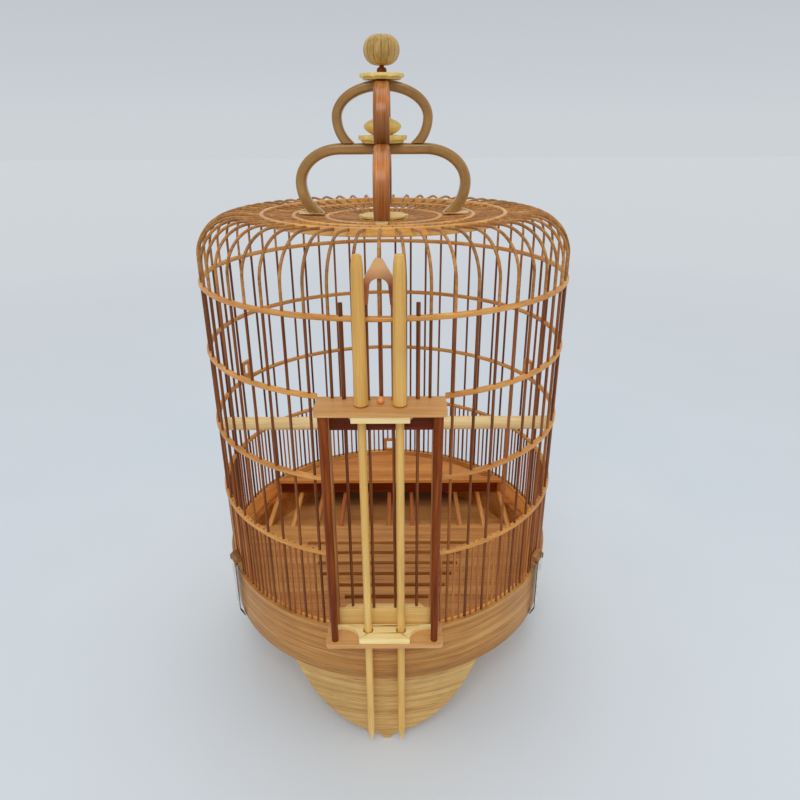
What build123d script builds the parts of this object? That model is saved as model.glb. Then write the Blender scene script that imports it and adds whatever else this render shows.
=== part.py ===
from build123d import *
import math
import os

# Round bird cage of thin bars and hoops, with a doored porch at the front, a crossed arch handle
# on the roof, and a separate base with a slatted floor and three tongue-shaped feet.
# Millimetres, +Z up. Z = 0 is the ground, the Z axis is the cage's axis and the door faces -Y.
# An azimuth is counted in degrees from the front, -Y, towards +X.

# Hoops and bars of the wall
hoop_outer_radius = 170.0
hoop_width = 5.0
hoop_height = 4.2
hoop_edge_radius = 1.9
rib_diameter = 2.4
rib_count = 57
skirt_bars_per_bay = 2
skirt_bar_diameter = 2.0
bar_fit = 0.05            # radial play of a bar in its hole
socket_depth = 4.0        # how far a bar sinks into the wood that it stands in
slide_clearance = 0.3     # play on each side of a piece that slides
cut_overrun = 2.0         # how far a cutting shape runs past the face that it cuts

# Heights from the ground up: foot ring, band, then the gaps from hoop to hoop
foot_ring_bottom_z = 76.5
foot_ring_edge_height = 11.1
band_height = 45.8
lower_hoop_rise = 76.6
middle_hoop_rise = 72.7
upper_hoop_rise = 71.0
top_hoop_rise = 62.0

# Band at the foot of the wall
band_overhang = 1.0       # band's outer face outside the hoops' outer face
band_wall = 6.5
joint_chamfer = 0.5       # on both outer edges of the joint of band and foot ring

# Roof
roof_bend_radius = 34.0
roof_bend_rise = 20.6     # start of the bend above the top hoop
roof_slope = 4.3          # degrees, down towards the axis
outer_ring_inset = 57.5   # from the bars' circle
middle_ring_inset = 28.4  # from the outer ring
inner_ring_inset = 29.7   # from the middle ring
ring_width = 3.6
outer_ring_height = 7.2
ring_height = 4.4         # of the middle and the inner ring
ring_edge_radius = 0.8
ring_cover = 0.6          # wood of a ring above the bars
hub_radius = 22.4
hub_height = 4.4
crown_plate_overhang = 0.3
crown_plate_thickness = 3.0

# Porch frame round the door
plate_half_width = 48.5
sill_half_width = 49.9
sill_back_corner = 4.0    # cut off beside the nearest skirt bars
plate_thickness = 4.0
plate_reach = 20.4        # in front of the hoops' outer face
plate_corner_radius = 4.0
jamb_width = 6.0
jamb_depth = 10.4
door_half_width = 39.0    # half the clear width between the two jambs
groove_depth = 2.6
post_bottom_radius = 2.9
post_top_radius = 3.8
post_x = 42.2
post_setback = 6.0        # post's axis behind the plate's front edge
header_height = 19.5
header_depth = 9.0
bracket_thickness = 5.3
bracket_front_half = 21.5
bracket_back_half = 41.0
bracket_setback = 1.0
bracket_nose = 3.4
bracket_tail = 2.6
flare_mid_shares = (0.25, 0.75)
pin_ball_radius = 2.9
pin_shank_diameter = 2.4
pin_setback = 15.8        # pin's axis behind the plate's front edge

# Lifting door: a rail and four bars, joined at the top by an arched grip
rail_depth = 6.0
rail_height = 20.0
rail_tongue = 1.8         # thickness of the rail's two ends, which slide in the jambs
rail_tongue_reach = 4.5   # from a jamb's inner face to the foot of the tongue's slope
rail_slope_length = 3.0
rail_socket_depth = 9.0
thick_bar_diameter = 3.2
thick_bar_rise = 11.3     # blunt top of the thick bars above the top hoop
grip_outer_half = 11.3
grip_inner_half = 6.6
grip_rise = 11.1          # foot of the grip above the top hoop
grip_opening_height = 18.4
grip_opening_round = 6.0  # height of the opening's round top
grip_height = 32.1
grip_outer_shares = ((0.21, 0.967), (0.45, 0.833), (0.735, 0.667), (0.947, 0.452), (1.0, 0.249))
grip_foot_half = 1.5      # half the width of the grip's leg where it takes the bar
grip_depth = 6.2
grip_relief = 0.4         # play round the front rib behind the grip

# Two club-headed locking rods
rod_x = 14.1
rod_setback = 11.9        # rod's axis behind the plate's front edge
rod_diameter = 6.5
rod_play = 1.0
rod_drop = 121.0          # tip below the top of the band
rod_tip_length = 13.0
rod_tip_radius = 1.8
club_bottom_radius = 5.4
club_shoulder_radius = 4.3
club_shoulder_drop = 10.0 # shoulder below the club's top
club_top_radius = 3.2
club_length = 109.0
club_heel = 1.2
club_crown = 0.7          # edge taken off round the club's top
club_bulge_shares = (0.65, 0.5)

# Perch and cup windows
perch_diameter = 13.6
perch_drop = 25.7         # perch's axis below the middle hoop
perch_overhang = 2.0      # how far the perch ends reach past the bars' circle
window_height = 18.3
window_bar = 3.3
window_depth = 3.6
window_play = 0.15
side_window_bay = 17      # bay, counted from the front rib, that holds a window on each side
back_window_bay = 28

# Base: foot ring with tongue feet, sleeve, tray board and floor
foot_count = 3
foot_ring_inset = 1.0     # foot ring's outer face inside the band's outer face
foot_ring_wall = 6.3
foot_line_width = 1.0     # line cut round the foot ring above its feet
foot_line_depth = 0.5
foot_half_share = 0.5     # half a foot's width as a share of the foot ring's radius
foot_curve_bottom_z = 7.6
foot_curve_shares = ((0.806, 0.578), (0.53, 0.24))
nub_half_width = 8.5
nub_tip_half_width = 2.6
tray_thickness = 4.0
tray_rise = 3.5           # underside of the tray board above the foot ring's straight edge
tray_play = 0.1
sleeve_play = 0.8
sleeve_wall = 6.0
floor_rise = 26.4         # underside of the floor above the band's lower edge
floor_thickness = 5.0
floor_play = 1.5
floor_back_y = 10.0
slot_count = 6
slot_first_share = 0.135  # shares of the floor's radius
slot_pitch_share = 0.1067
slot_half_length_shares = (0.54, 0.49, 0.45, 0.405, 0.355, 0.25)
slot_width = 5.2
slat_pairs = 5            # slats on each side of the middle one
slat_end_margin = 25.5    # outermost slat's axis inside the floor's edge
slat_width = 4.6
batten_width = 20.0
batten_height = 6.0

# Bench at the back of the floor
bench_inset = 1.0         # round ends of the bench's front strip inside the floor's edge
bench_back_inset = 14.0   # round back edge of the seat further inside
bench_depth = 80.4
bench_strip_depth = 9.0   # of the seat's front strip, which reaches to the wall
bench_height = 17.9
bench_thickness = 4.0
bench_overhang = 1.0
apron_thickness = 5.0
apron_end_play = 1.5
cleat_half_length = 30.0
cleat_width = 8.0
cleat_inset = 6.0

# Spring clips between the wall and the base
clip_azimuths = {"left": -60.0, "right": 60.0}
clip_width = 12.0
clip_tip_width = 6.0      # at the foot of the toe
clip_thickness = 0.8
clip_standoff = 1.4       # clip's eye in front of its block's web
clip_pivot_rise = 13.0    # above the band's top
clip_eye_radius = 1.8
clip_bend_drop = 0.5      # bend of the toe below the band's lower edge
clip_toe_length = 9.5
clip_toe_gap = 0.3
clip_pin_diameter = 2.0
clip_block_width = 15.0
clip_block_rise = 6.4    # top of the block above the pivot
clip_block_gap = 0.2      # between the bars and the back of a block
clip_block_web = 1.8
clip_block_crest = 1.8    # thickness that the block has at its top beyond its web
clip_ear_cover = 0.8      # ears in front of the eye, and above its slot
clip_ear_drop = 2.6       # ears reach this far below the pivot

# Handle
strip_width = 13.3
strip_edge_radius = 3.2
lower_strip_thickness = 9.2
upper_strip_thickness = 8.2
lower_arch_height = 57.7
lower_arch_wide_height = 24.7
lower_arch_foot_inset = 10.1    # foot's axis outside the inner roof ring
lower_arch_bulge = 16.2         # widest point outside the foot's axis
lower_arch_shoulder = 41.2
upper_arch_height = 49.5
upper_arch_wide_height = 20.5
upper_arch_half_width = 43.5
upper_arch_bulge = 12.9
pad_length = 24.0
pad_width = 10.0
pad_thickness = 1.8
pad_overlap = 8.0         # pad's inner end inside the foot's axis
pad_lift = 0.1            # above the bars that it lies on
underplate_length = 15.0
underplate_width = 13.0
underplate_play = 0.5     # between a plate and the inner roof ring
underplate_thickness = 3.0
dowel_diameter = 2.6
dowel_bite = 8.0          # how far a dowel enters the arch's foot
spindle_diameter = 4.0
nut_radius = 5.0
nut_height = 4.0
nut_tail = 2.0
lobe_count = 8
lobe_share = 0.45         # radius of one lobe as a share of its disc's radius
cove_mid_shares = (0.4, 0.7)
disc_foot_share = 0.84    # disc's underside as a share of its radius
disc_edge_share = 0.55    # thickness of a disc's rim as a share of its thickness
mid_disc_radius = 21.2
mid_disc_thickness = 6.3
ornament_radius = 16.3
ornament_height = 15.6
ornament_neck_radius = 8.9
ornament_neck_height = 0.5
ornament_wide_height = 6.9
ornament_top_radius = 4.4
ornament_bowl_shares = ((0.24, 0.14), (0.62, 0.4), (0.92, 0.74))
ornament_bell_shares = ((0.966, 0.195), (0.857, 0.356), (0.672, 0.517), (0.395, 0.667), (0.21, 0.816))
top_disc_radius = 18.9
top_disc_thickness = 4.6
bead_radius = 4.2
bead_height = 4.8
bead_end_radius = 3.0
neck_height = 1.6         # of the spindle left bare between bead and finial
finial_radius = 15.2
finial_height = 22.6
finial_flat_radius = 4.6
finial_bore_depth = 12.0

# Sizes that follow from the ones above
rib_radius = hoop_outer_radius - hoop_width / 2
rib_pitch = 360.0 / rib_count
skirt_pitch = rib_pitch / (skirt_bars_per_bay + 1)
band_bottom_z = foot_ring_bottom_z + foot_ring_edge_height
band_top_z = band_bottom_z + band_height
lower_hoop_z = band_top_z + lower_hoop_rise
middle_hoop_z = lower_hoop_z + middle_hoop_rise
upper_hoop_z = middle_hoop_z + upper_hoop_rise
top_hoop_z = upper_hoop_z + top_hoop_rise
band_outer_radius = hoop_outer_radius + band_overhang
band_inner_radius = band_outer_radius - band_wall
roof_bend_start_z = top_hoop_z + roof_bend_rise
outer_ring_radius = rib_radius - outer_ring_inset
middle_ring_radius = outer_ring_radius - middle_ring_inset
inner_ring_radius = middle_ring_radius - inner_ring_inset
crown_plate_radius = hub_radius + crown_plate_overhang
plate_front_y = -(hoop_outer_radius + plate_reach)
plate_top_z = upper_hoop_z
plate_bottom_z = plate_top_z - plate_thickness
sill_plate_top_z = band_top_z + plate_thickness
pin_y = plate_front_y + pin_setback
rod_y = plate_front_y + rod_setback
rod_tip_z = band_top_z - rod_drop
thick_bar_top_z = top_hoop_z + thick_bar_rise
grip_bottom_z = top_hoop_z + grip_rise
grip_inner_top_z = grip_bottom_z + grip_opening_height
grip_top_z = grip_bottom_z + grip_height
perch_z = middle_hoop_z - perch_drop
foot_ring_outer_radius = band_outer_radius - foot_ring_inset
foot_ring_inner_radius = foot_ring_outer_radius - foot_ring_wall
foot_half_width = foot_ring_outer_radius * foot_half_share
sleeve_outer_radius = min(foot_ring_inner_radius, band_inner_radius - sleeve_play)
sleeve_inner_radius = sleeve_outer_radius - sleeve_wall
tray_z = foot_ring_bottom_z + tray_rise
floor_underside_z = band_bottom_z + floor_rise
floor_top_z = floor_underside_z + floor_thickness
floor_radius = band_inner_radius - floor_play
slot_first_y = -floor_radius * slot_first_share
slot_pitch = floor_radius * slot_pitch_share
slat_pitch = (floor_radius - slat_end_margin) / slat_pairs
bench_strip_radius = floor_radius - bench_inset
bench_back_radius = bench_strip_radius - bench_back_inset
bench_front_y = bench_strip_radius - bench_depth
bench_top_z = floor_top_z + bench_height
bench_underside_z = bench_top_z - bench_thickness
block_back_radius = rib_radius + rib_diameter / 2 + clip_block_gap
block_web_radius = block_back_radius + clip_block_web
clip_pivot_radius = block_web_radius + clip_standoff + clip_eye_radius
clip_block_front_radius = clip_pivot_radius + clip_eye_radius + clip_ear_cover
clip_pivot_z = band_top_z + clip_pivot_rise
clip_toe_bend_z = band_bottom_z - clip_bend_drop
clip_toe_z = clip_toe_bend_z - clip_toe_length
lower_arch_foot_x = inner_ring_radius + lower_arch_foot_inset
lower_arch_half_width = lower_arch_foot_x + lower_arch_bulge
upper_arch_foot_x = upper_arch_half_width - upper_arch_bulge


def wall_point(radius, azimuth):
    """Plan position at a radius and an azimuth."""
    turn = math.radians(azimuth)
    return (radius * math.sin(turn), -radius * math.cos(turn))


def radial_plane(azimuth):
    """Upright plane through the axis: local X points outwards at the azimuth, local Y is up."""
    turn = math.radians(azimuth)
    outward = (math.sin(turn), -math.cos(turn), 0)
    sideways = (-math.cos(turn), -math.sin(turn), 0)
    return Plane(origin=(0, 0, 0), x_dir=outward, z_dir=sideways)


def tangent_plane(azimuth):
    """Upright plane through the axis that faces the azimuth: local X runs along the wall."""
    turn = math.radians(azimuth)
    outward = (math.sin(turn), -math.cos(turn), 0)
    along = (math.cos(turn), math.sin(turn), 0)
    return Plane(origin=(0, 0, 0), x_dir=along, z_dir=outward)


def roof_z(radius):
    """Height of a roof bar's centre line at a radius on the straight stretch."""
    slope = math.radians(roof_slope)
    end_radius = rib_radius - roof_bend_radius - roof_bend_radius * math.sin(slope)
    end_z = roof_bend_start_z + roof_bend_radius * math.cos(slope)
    return end_z - (end_radius - radius) * math.tan(slope)


def save(part, name):
    part.label = name
    export_step(part, "parts/" + name + ".step")


os.makedirs("parts", exist_ok=True)

# Handle's heights, from the roof up
pad_reach = lower_arch_foot_x - pad_overlap + pad_length
pad_centre_radius = pad_reach - pad_length / 2
pad_bottom_z = roof_z(pad_reach) + rib_diameter / 2 + pad_lift
pad_top_z = pad_bottom_z + pad_thickness
lower_arch_top_z = pad_top_z + lower_arch_height
lower_arch_wide_z = pad_top_z + lower_arch_wide_height
upper_arch_top_z = lower_arch_top_z + upper_arch_height
upper_arch_wide_z = lower_arch_top_z + upper_arch_wide_height

# Azimuths of the bars. The ones over the doorway stop at the porch's top plate.
half_count = rib_count // 2
rib_azimuths = [index * rib_pitch for index in range(-half_count, rib_count - half_count)]
door_rib_azimuths = []
wall_rib_azimuths = []
for azimuth in rib_azimuths:
    x, y = wall_point(rib_radius, azimuth)
    if y < 0 and abs(x) < plate_half_width:
        door_rib_azimuths.append(azimuth)
    else:
        wall_rib_azimuths.append(azimuth)

jamb_outer_x = door_half_width + jamb_width
back_bay_azimuth = (back_window_bay + 1 / 2) * rib_pitch
skirt_azimuths = []
window_bar_azimuths = []
for rib_azimuth in rib_azimuths:
    for step in range(1, skirt_bars_per_bay + 1):
        azimuth = rib_azimuth + step * skirt_pitch
        x, y = wall_point(rib_radius, azimuth)
        from_window = (azimuth - back_bay_azimuth + 180) % 360 - 180
        if y < 0 and abs(x) < jamb_outer_x + skirt_bar_diameter:
            continue
        if abs(from_window) < rib_pitch / 2:
            window_bar_azimuths.append(azimuth)
        else:
            skirt_azimuths.append(azimuth)

# Places of the four door bars, between the ribs, and of the rail that carries them
inner_bar_x, inner_bar_y = wall_point(rib_radius, rib_pitch / 2)
outer_bar_x, outer_bar_y = wall_point(rib_radius, rib_pitch * 3 / 2)
rail_y = (inner_bar_y + outer_bar_y) / 2
jamb_x = door_half_width + jamb_width / 2
jamb_back_y = rail_y + jamb_depth / 2
jamb_front_y = rail_y - jamb_depth / 2
rail_bottom_z = sill_plate_top_z + slide_clearance
rail_top_z = rail_bottom_z + rail_height


# Band: the bent strip that the wall's bars stand in
with BuildPart() as base_band:
    with BuildSketch(Plane.XY.offset(band_bottom_z)):
        Circle(band_outer_radius)
        Circle(band_inner_radius, mode=Mode.SUBTRACT)
    extrude(amount=band_top_z - band_bottom_z)
    joint_edge = base_band.edges().group_by(Axis.Z)[0].sort_by(SortBy.LENGTH)[-1]
    chamfer(joint_edge, length=joint_chamfer)
    with BuildSketch(Plane.XY.offset(band_top_z - socket_depth)):
        with Locations(*[wall_point(rib_radius, a) for a in wall_rib_azimuths]):
            Circle(rib_diameter / 2 + bar_fit)
        with Locations(*[wall_point(rib_radius, a) for a in skirt_azimuths]):
            Circle(skirt_bar_diameter / 2 + bar_fit)
    extrude(amount=socket_depth + cut_overrun, mode=Mode.SUBTRACT)
save(base_band.part, "base_band")


def make_hoop(height, gap_half, rib_places, skirt_places, door_bars):
    """One hoop of the wall, drilled for its bars and cut open over the doorway."""
    with BuildPart() as hoop:
        with BuildSketch(Plane.XZ):
            with Locations((rib_radius, height)):
                RectangleRounded(hoop_width, hoop_height, hoop_edge_radius)
        revolve(axis=Axis.Z)
        with BuildSketch(Plane.XY.offset(height - hoop_height)):
            with Locations(*[wall_point(rib_radius, a) for a in rib_places]):
                Circle(rib_diameter / 2 + bar_fit)
            if skirt_places:
                with Locations(*[wall_point(rib_radius, a) for a in skirt_places]):
                    Circle(skirt_bar_diameter / 2 + bar_fit)
            if door_bars:
                with Locations((inner_bar_x, inner_bar_y), (-inner_bar_x, inner_bar_y)):
                    Circle(rib_diameter / 2 + slide_clearance)
                with Locations((outer_bar_x, outer_bar_y), (-outer_bar_x, outer_bar_y)):
                    Circle(thick_bar_diameter / 2 + slide_clearance)
        extrude(amount=2 * hoop_height, mode=Mode.SUBTRACT)
        if gap_half:
            with Locations((0, -rib_radius, height)):
                Box(2 * gap_half, gap_half, 2 * hoop_height, mode=Mode.SUBTRACT)
    return hoop.part


save(make_hoop(top_hoop_z, 0, rib_azimuths, [], True), "hoop_top")
save(make_hoop(upper_hoop_z, plate_half_width, wall_rib_azimuths, [], False), "hoop_upper")
save(make_hoop(middle_hoop_z, jamb_outer_x, wall_rib_azimuths, [], False), "hoop_middle")
lower_hoop_bars = skirt_azimuths + window_bar_azimuths
save(make_hoop(lower_hoop_z, jamb_outer_x, wall_rib_azimuths, lower_hoop_bars, False), "hoop_lower")

# Upright bars of the wall, from the band to the middle of the top hoop
with BuildPart() as wall_ribs:
    with BuildSketch(Plane.XY.offset(band_top_z - socket_depth)):
        with Locations(*[wall_point(rib_radius, a) for a in wall_rib_azimuths]):
            Circle(rib_diameter / 2)
    extrude(amount=top_hoop_z - band_top_z + socket_depth)
save(wall_ribs.part, "wall_ribs")

# Short bars over the doorway, from the porch's top plate to the top hoop
door_rib_socket = plate_thickness / 2
with BuildPart() as door_ribs:
    with BuildSketch(Plane.XY.offset(plate_top_z - door_rib_socket)):
        with Locations(*[wall_point(rib_radius, a) for a in door_rib_azimuths]):
            Circle(rib_diameter / 2)
    extrude(amount=top_hoop_z - plate_top_z + door_rib_socket)
save(door_ribs.part, "door_ribs")

# Close-set bars of the skirt, from the band to the lower hoop
skirt_top_z = lower_hoop_z + hoop_height / 2 - bar_fit
window_top_z = band_top_z + window_height
with BuildPart() as skirt_bars:
    with BuildSketch(Plane.XY.offset(band_top_z - socket_depth)):
        with Locations(*[wall_point(rib_radius, a) for a in skirt_azimuths]):
            Circle(skirt_bar_diameter / 2)
    extrude(amount=skirt_top_z - band_top_z + socket_depth)
    with BuildSketch(Plane.XY.offset(window_top_z + bar_fit)):
        with Locations(*[wall_point(rib_radius, a) for a in window_bar_azimuths]):
            Circle(skirt_bar_diameter / 2)
    extrude(amount=skirt_top_z - window_top_z - bar_fit)
save(skirt_bars.part, "skirt_bars")

# Roof bars: one bar over the shoulder, copied round the axis
with BuildPart() as roof_rib:
    with BuildLine(Plane.XZ) as roof_path:
        Line((rib_radius, top_hoop_z), (rib_radius, roof_bend_start_z))
        bend_centre = (rib_radius - roof_bend_radius, roof_bend_start_z)
        bend = CenterArc(bend_centre, roof_bend_radius, 0, 90 + roof_slope)
        hub_gap_radius = hub_radius + rib_diameter / 2 * math.sin(math.radians(roof_slope)) + bar_fit
        Line(bend @ 1, (hub_gap_radius, roof_z(hub_gap_radius)))
    with BuildSketch(Plane.XY.offset(top_hoop_z)):
        with Locations((rib_radius, 0)):
            Circle(rib_diameter / 2)
    sweep()
with BuildPart() as roof_ribs:
    with PolarLocations(0, rib_count, start_angle=-90):
        add(roof_rib.part)
save(roof_ribs.part, "roof_ribs")

# Bore that lets a roof bar through the roof rings
with BuildPart() as roof_bore:
    bore_start = (outer_ring_radius + ring_width, 0, roof_z(outer_ring_radius + ring_width))
    bore_end = (inner_ring_radius - ring_width, 0, roof_z(inner_ring_radius - ring_width))
    bore_run = Vector(*bore_end) - Vector(*bore_start)
    with BuildSketch(Plane(origin=bore_start, z_dir=bore_run)):
        Circle(rib_diameter / 2 + bar_fit)
    extrude(amount=bore_run.length)


def make_roof_ring(radius, height):
    """One ring of the roof, threaded on all the roof bars close to its top."""
    top_z = roof_z(radius) + rib_diameter / 2 + ring_cover
    with BuildPart() as ring:
        with BuildSketch(Plane.XZ):
            with Locations((radius, top_z - height / 2)):
                RectangleRounded(ring_width, height, ring_edge_radius)
        revolve(axis=Axis.Z)
        with PolarLocations(0, rib_count, start_angle=-90):
            add(roof_bore.part, mode=Mode.SUBTRACT)
    return ring.part


save(make_roof_ring(outer_ring_radius, outer_ring_height), "roof_ring_outer")
save(make_roof_ring(middle_ring_radius, ring_height), "roof_ring_middle")
save(make_roof_ring(inner_ring_radius, ring_height), "roof_ring_inner")

# Hub that the roof bars meet, and the lobed plate that covers it
crown_z = roof_z(crown_plate_radius) + rib_diameter / 2 + bar_fit
with BuildPart() as crown_hub:
    with BuildSketch(Plane.XY.offset(crown_z - hub_height)):
        Circle(hub_radius)
    extrude(amount=hub_height)
save(crown_hub.part, "crown_hub")


def make_lobed_disc(radius, thickness, bottom_z, bore_radius):
    """A disc with round lobes on its rim and a coved underside."""
    reach = radius + cut_overrun
    lobe_radius = radius * lobe_share
    foot_radius = radius * disc_foot_share
    top_z = bottom_z + thickness
    rim_z = top_z - thickness * disc_edge_share
    cove_x = foot_radius + (radius - foot_radius) * cove_mid_shares[0]
    cove_z = bottom_z + (rim_z - bottom_z) * cove_mid_shares[1]
    with BuildPart() as disc:
        with BuildSketch(Plane.XY.offset(bottom_z)):
            Circle(radius - lobe_radius)
            with PolarLocations(radius - lobe_radius, lobe_count):
                Circle(lobe_radius)
            if bore_radius:
                Circle(bore_radius, mode=Mode.SUBTRACT)
        extrude(amount=thickness)
        with BuildSketch(Plane.XZ):
            with BuildLine():
                Line((0, bottom_z), (foot_radius, bottom_z))
                ThreePointArc((foot_radius, bottom_z), (cove_x, cove_z), (reach, rim_z))
                Polyline((reach, rim_z), (reach, top_z), (0, top_z), (0, bottom_z))
            make_face()
        revolve(axis=Axis.Z, mode=Mode.INTERSECT)
    return disc.part


save(make_lobed_disc(crown_plate_radius, crown_plate_thickness, crown_z, 0), "crown_plate")

# Perch: a straight rod notched over one bar at each end
perch_rib_azimuth = math.floor(90 / rib_pitch) * rib_pitch
perch_rib_x, perch_y = wall_point(rib_radius, perch_rib_azimuth)
perch_half_length = perch_rib_x + perch_overhang
notch_depth = perch_overhang + rib_diameter / 2 + bar_fit
with BuildPart() as perch:
    with BuildSketch(Plane.YZ):
        with Locations((perch_y, perch_z)):
            Circle(perch_diameter / 2)
    extrude(amount=perch_half_length, both=True)
    notch_x = perch_half_length - notch_depth / 2
    with Locations((notch_x, perch_y, perch_z), (-notch_x, perch_y, perch_z)):
        Box(notch_depth, rib_diameter + 2 * bar_fit, perch_diameter, mode=Mode.SUBTRACT)
save(perch.part, "perch")

# Cup windows: square frames between two bars, two over the middle hoop and one on the band
window_width = 2 * rib_radius * math.sin(math.radians(rib_pitch / 2)) - rib_diameter - 2 * window_play
window_radius = rib_radius * math.cos(math.radians(rib_pitch / 2))
side_window_azimuth = (side_window_bay + 1 / 2) * rib_pitch
window_seats = [
    (side_window_azimuth, middle_hoop_z + hoop_height / 2),
    (-side_window_azimuth, middle_hoop_z + hoop_height / 2),
    (back_bay_azimuth, band_top_z),
]
window_places = []
for azimuth, seat_z in window_seats:
    x, y = wall_point(window_radius, azimuth)
    window_places.append(Location((x, y, seat_z + window_height / 2), (0, 0, azimuth)))
with BuildPart() as cup_windows:
    with Locations(*window_places):
        Box(window_width, window_depth, window_height)
        hole_width = window_width - 2 * window_bar
        Box(hole_width, window_depth, window_height - 2 * window_bar, mode=Mode.SUBTRACT)
save(cup_windows.part, "cup_windows")


def porch_plate_outline(half_width, back_corner):
    """Plan of a porch plate: its front corners rounded, and its back ones cut off if asked."""
    depth = jamb_back_y - plate_front_y
    with BuildSketch() as outline:
        with Locations((0, plate_front_y + depth / 2)):
            Rectangle(2 * half_width, depth)
        fillet(outline.vertices().group_by(Axis.Y)[0], radius=plate_corner_radius)
        if back_corner:
            chamfer(outline.vertices().group_by(Axis.Y)[-1], length=back_corner)
    return outline.sketch


rod_places = [(rod_x, rod_y), (-rod_x, rod_y)]
bar_places = [
    (inner_bar_x, inner_bar_y),
    (-inner_bar_x, inner_bar_y),
    (outer_bar_x, outer_bar_y),
    (-outer_bar_x, outer_bar_y),
]

# Porch's top plate, level with the upper hoop
with BuildPart() as door_top_plate:
    with BuildSketch(Plane.XY.offset(plate_bottom_z)):
        add(porch_plate_outline(plate_half_width, 0))
        with Locations(*rod_places):
            Circle(rod_diameter / 2 + rod_play, mode=Mode.SUBTRACT)
        with Locations(*bar_places):
            Circle(rib_diameter / 2 + slide_clearance, mode=Mode.SUBTRACT)
        with Locations((0, pin_y)):
            Circle(pin_shank_diameter / 2 + bar_fit, mode=Mode.SUBTRACT)
    extrude(amount=plate_thickness)
    with BuildSketch(Plane.XY.offset(plate_top_z - door_rib_socket)):
        with Locations(*[wall_point(rib_radius, a) for a in door_rib_azimuths]):
            Circle(rib_diameter / 2 + bar_fit)
    extrude(amount=door_rib_socket + cut_overrun, mode=Mode.SUBTRACT)
save(door_top_plate.part, "door_top_plate")

# Porch's bottom plate, lying on the band
with BuildPart() as door_bottom_plate:
    with BuildSketch(Plane.XY.offset(band_top_z)):
        add(porch_plate_outline(sill_half_width, sill_back_corner))
        with Locations(*rod_places):
            Circle(rod_diameter / 2 + rod_play, mode=Mode.SUBTRACT)
    extrude(amount=plate_thickness)
save(door_bottom_plate.part, "door_bottom_plate")

# Two round posts at the porch's front corners, thicker at the top
post_height = plate_bottom_z - sill_plate_top_z
post_y = plate_front_y + post_setback
post_middle_z = sill_plate_top_z + post_height / 2
with BuildPart() as door_posts:
    with Locations((post_x, post_y, post_middle_z), (-post_x, post_y, post_middle_z)):
        Cone(post_bottom_radius, post_top_radius, post_height)
save(door_posts.part, "door_posts")

# Two jambs in the wall, each grooved on its inner side for the lifting rail
groove_x = door_half_width + groove_depth / 2
rail_front_y = rail_y - rail_depth / 2
groove_y = rail_front_y + rail_tongue / 2
with BuildPart() as door_jambs:
    with BuildSketch(Plane.XY.offset(sill_plate_top_z)):
        with Locations((jamb_x, rail_y), (-jamb_x, rail_y)):
            Rectangle(jamb_width, jamb_depth)
        with Locations((groove_x, groove_y), (-groove_x, groove_y)):
            Rectangle(groove_depth, rail_tongue + 2 * slide_clearance, mode=Mode.SUBTRACT)
    extrude(amount=post_height)
save(door_jambs.part, "door_jambs")

# Header board over the doorway, drilled for the four door bars
header_bottom_z = plate_bottom_z - header_height
with BuildPart() as door_header:
    with BuildSketch(Plane.XY.offset(header_bottom_z)):
        with Locations((0, rail_y)):
            Rectangle(2 * door_half_width, header_depth)
        with Locations(*bar_places):
            Circle(rib_diameter / 2 + slide_clearance, mode=Mode.SUBTRACT)
    extrude(amount=header_height)
save(door_header.part, "door_header")


def bracket_outline():
    """Plan of a rod bracket: narrow at the front, flaring in two coves to its back edge."""
    front_y = plate_front_y + bracket_setback
    nose_y = front_y + bracket_nose
    tail_y = jamb_front_y - bracket_tail
    spread = bracket_back_half - bracket_front_half
    mid_x = bracket_front_half + spread * flare_mid_shares[0]
    mid_y = nose_y + (tail_y - nose_y) * flare_mid_shares[1]
    with BuildSketch() as outline:
        with BuildLine():
            Polyline((0, front_y), (bracket_front_half, front_y), (bracket_front_half, nose_y))
            ThreePointArc((bracket_front_half, nose_y), (mid_x, mid_y), (bracket_back_half, tail_y))
            Polyline((bracket_back_half, tail_y), (bracket_back_half, jamb_front_y), (0, jamb_front_y))
            mirror(about=Plane.YZ)
        make_face()
        with Locations(*rod_places):
            Circle(rod_diameter / 2 + rod_play, mode=Mode.SUBTRACT)
    return outline.sketch


for bracket_name, bracket_z in (
    ("door_top_bracket", plate_bottom_z - bracket_thickness),
    ("door_bottom_bracket", sill_plate_top_z),
):
    with BuildPart() as door_bracket:
        with BuildSketch(Plane.XY.offset(bracket_z)):
            add(bracket_outline())
        extrude(amount=bracket_thickness)
    save(door_bracket.part, bracket_name)

# Ball-headed pin in the top plate
with BuildPart() as plate_pin:
    with Locations((0, pin_y, plate_top_z + pin_ball_radius)):
        Sphere(pin_ball_radius)
    with BuildSketch(Plane.XY.offset(plate_bottom_z)):
        with Locations((0, pin_y)):
            Circle(pin_shank_diameter / 2)
    extrude(amount=plate_thickness + pin_ball_radius)
save(plate_pin.part, "plate_pin")

# Lifting door: the rail, thinned at both ends to the tongues that slide in the jambs
rail_half_width = door_half_width + groove_depth - slide_clearance
rail_back_y = rail_front_y + rail_depth
tongue_back_y = rail_front_y + rail_tongue
tongue_x = door_half_width - rail_tongue_reach
with BuildPart() as grille_rail:
    with BuildSketch(Plane.XY.offset(rail_bottom_z)):
        with BuildLine():
            Polyline(
                (0, rail_front_y),
                (rail_half_width, rail_front_y),
                (rail_half_width, tongue_back_y),
                (tongue_x, tongue_back_y),
                (tongue_x - rail_slope_length, rail_back_y),
                (0, rail_back_y),
            )
            mirror(about=Plane.YZ)
        make_face()
    extrude(amount=rail_height)
    with BuildSketch(Plane.XY.offset(rail_top_z - rail_socket_depth)):
        with Locations(*bar_places):
            Circle(rib_diameter / 2 + bar_fit)
    extrude(amount=rail_socket_depth + cut_overrun, mode=Mode.SUBTRACT)
save(grille_rail.part, "grille_rail")

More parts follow.
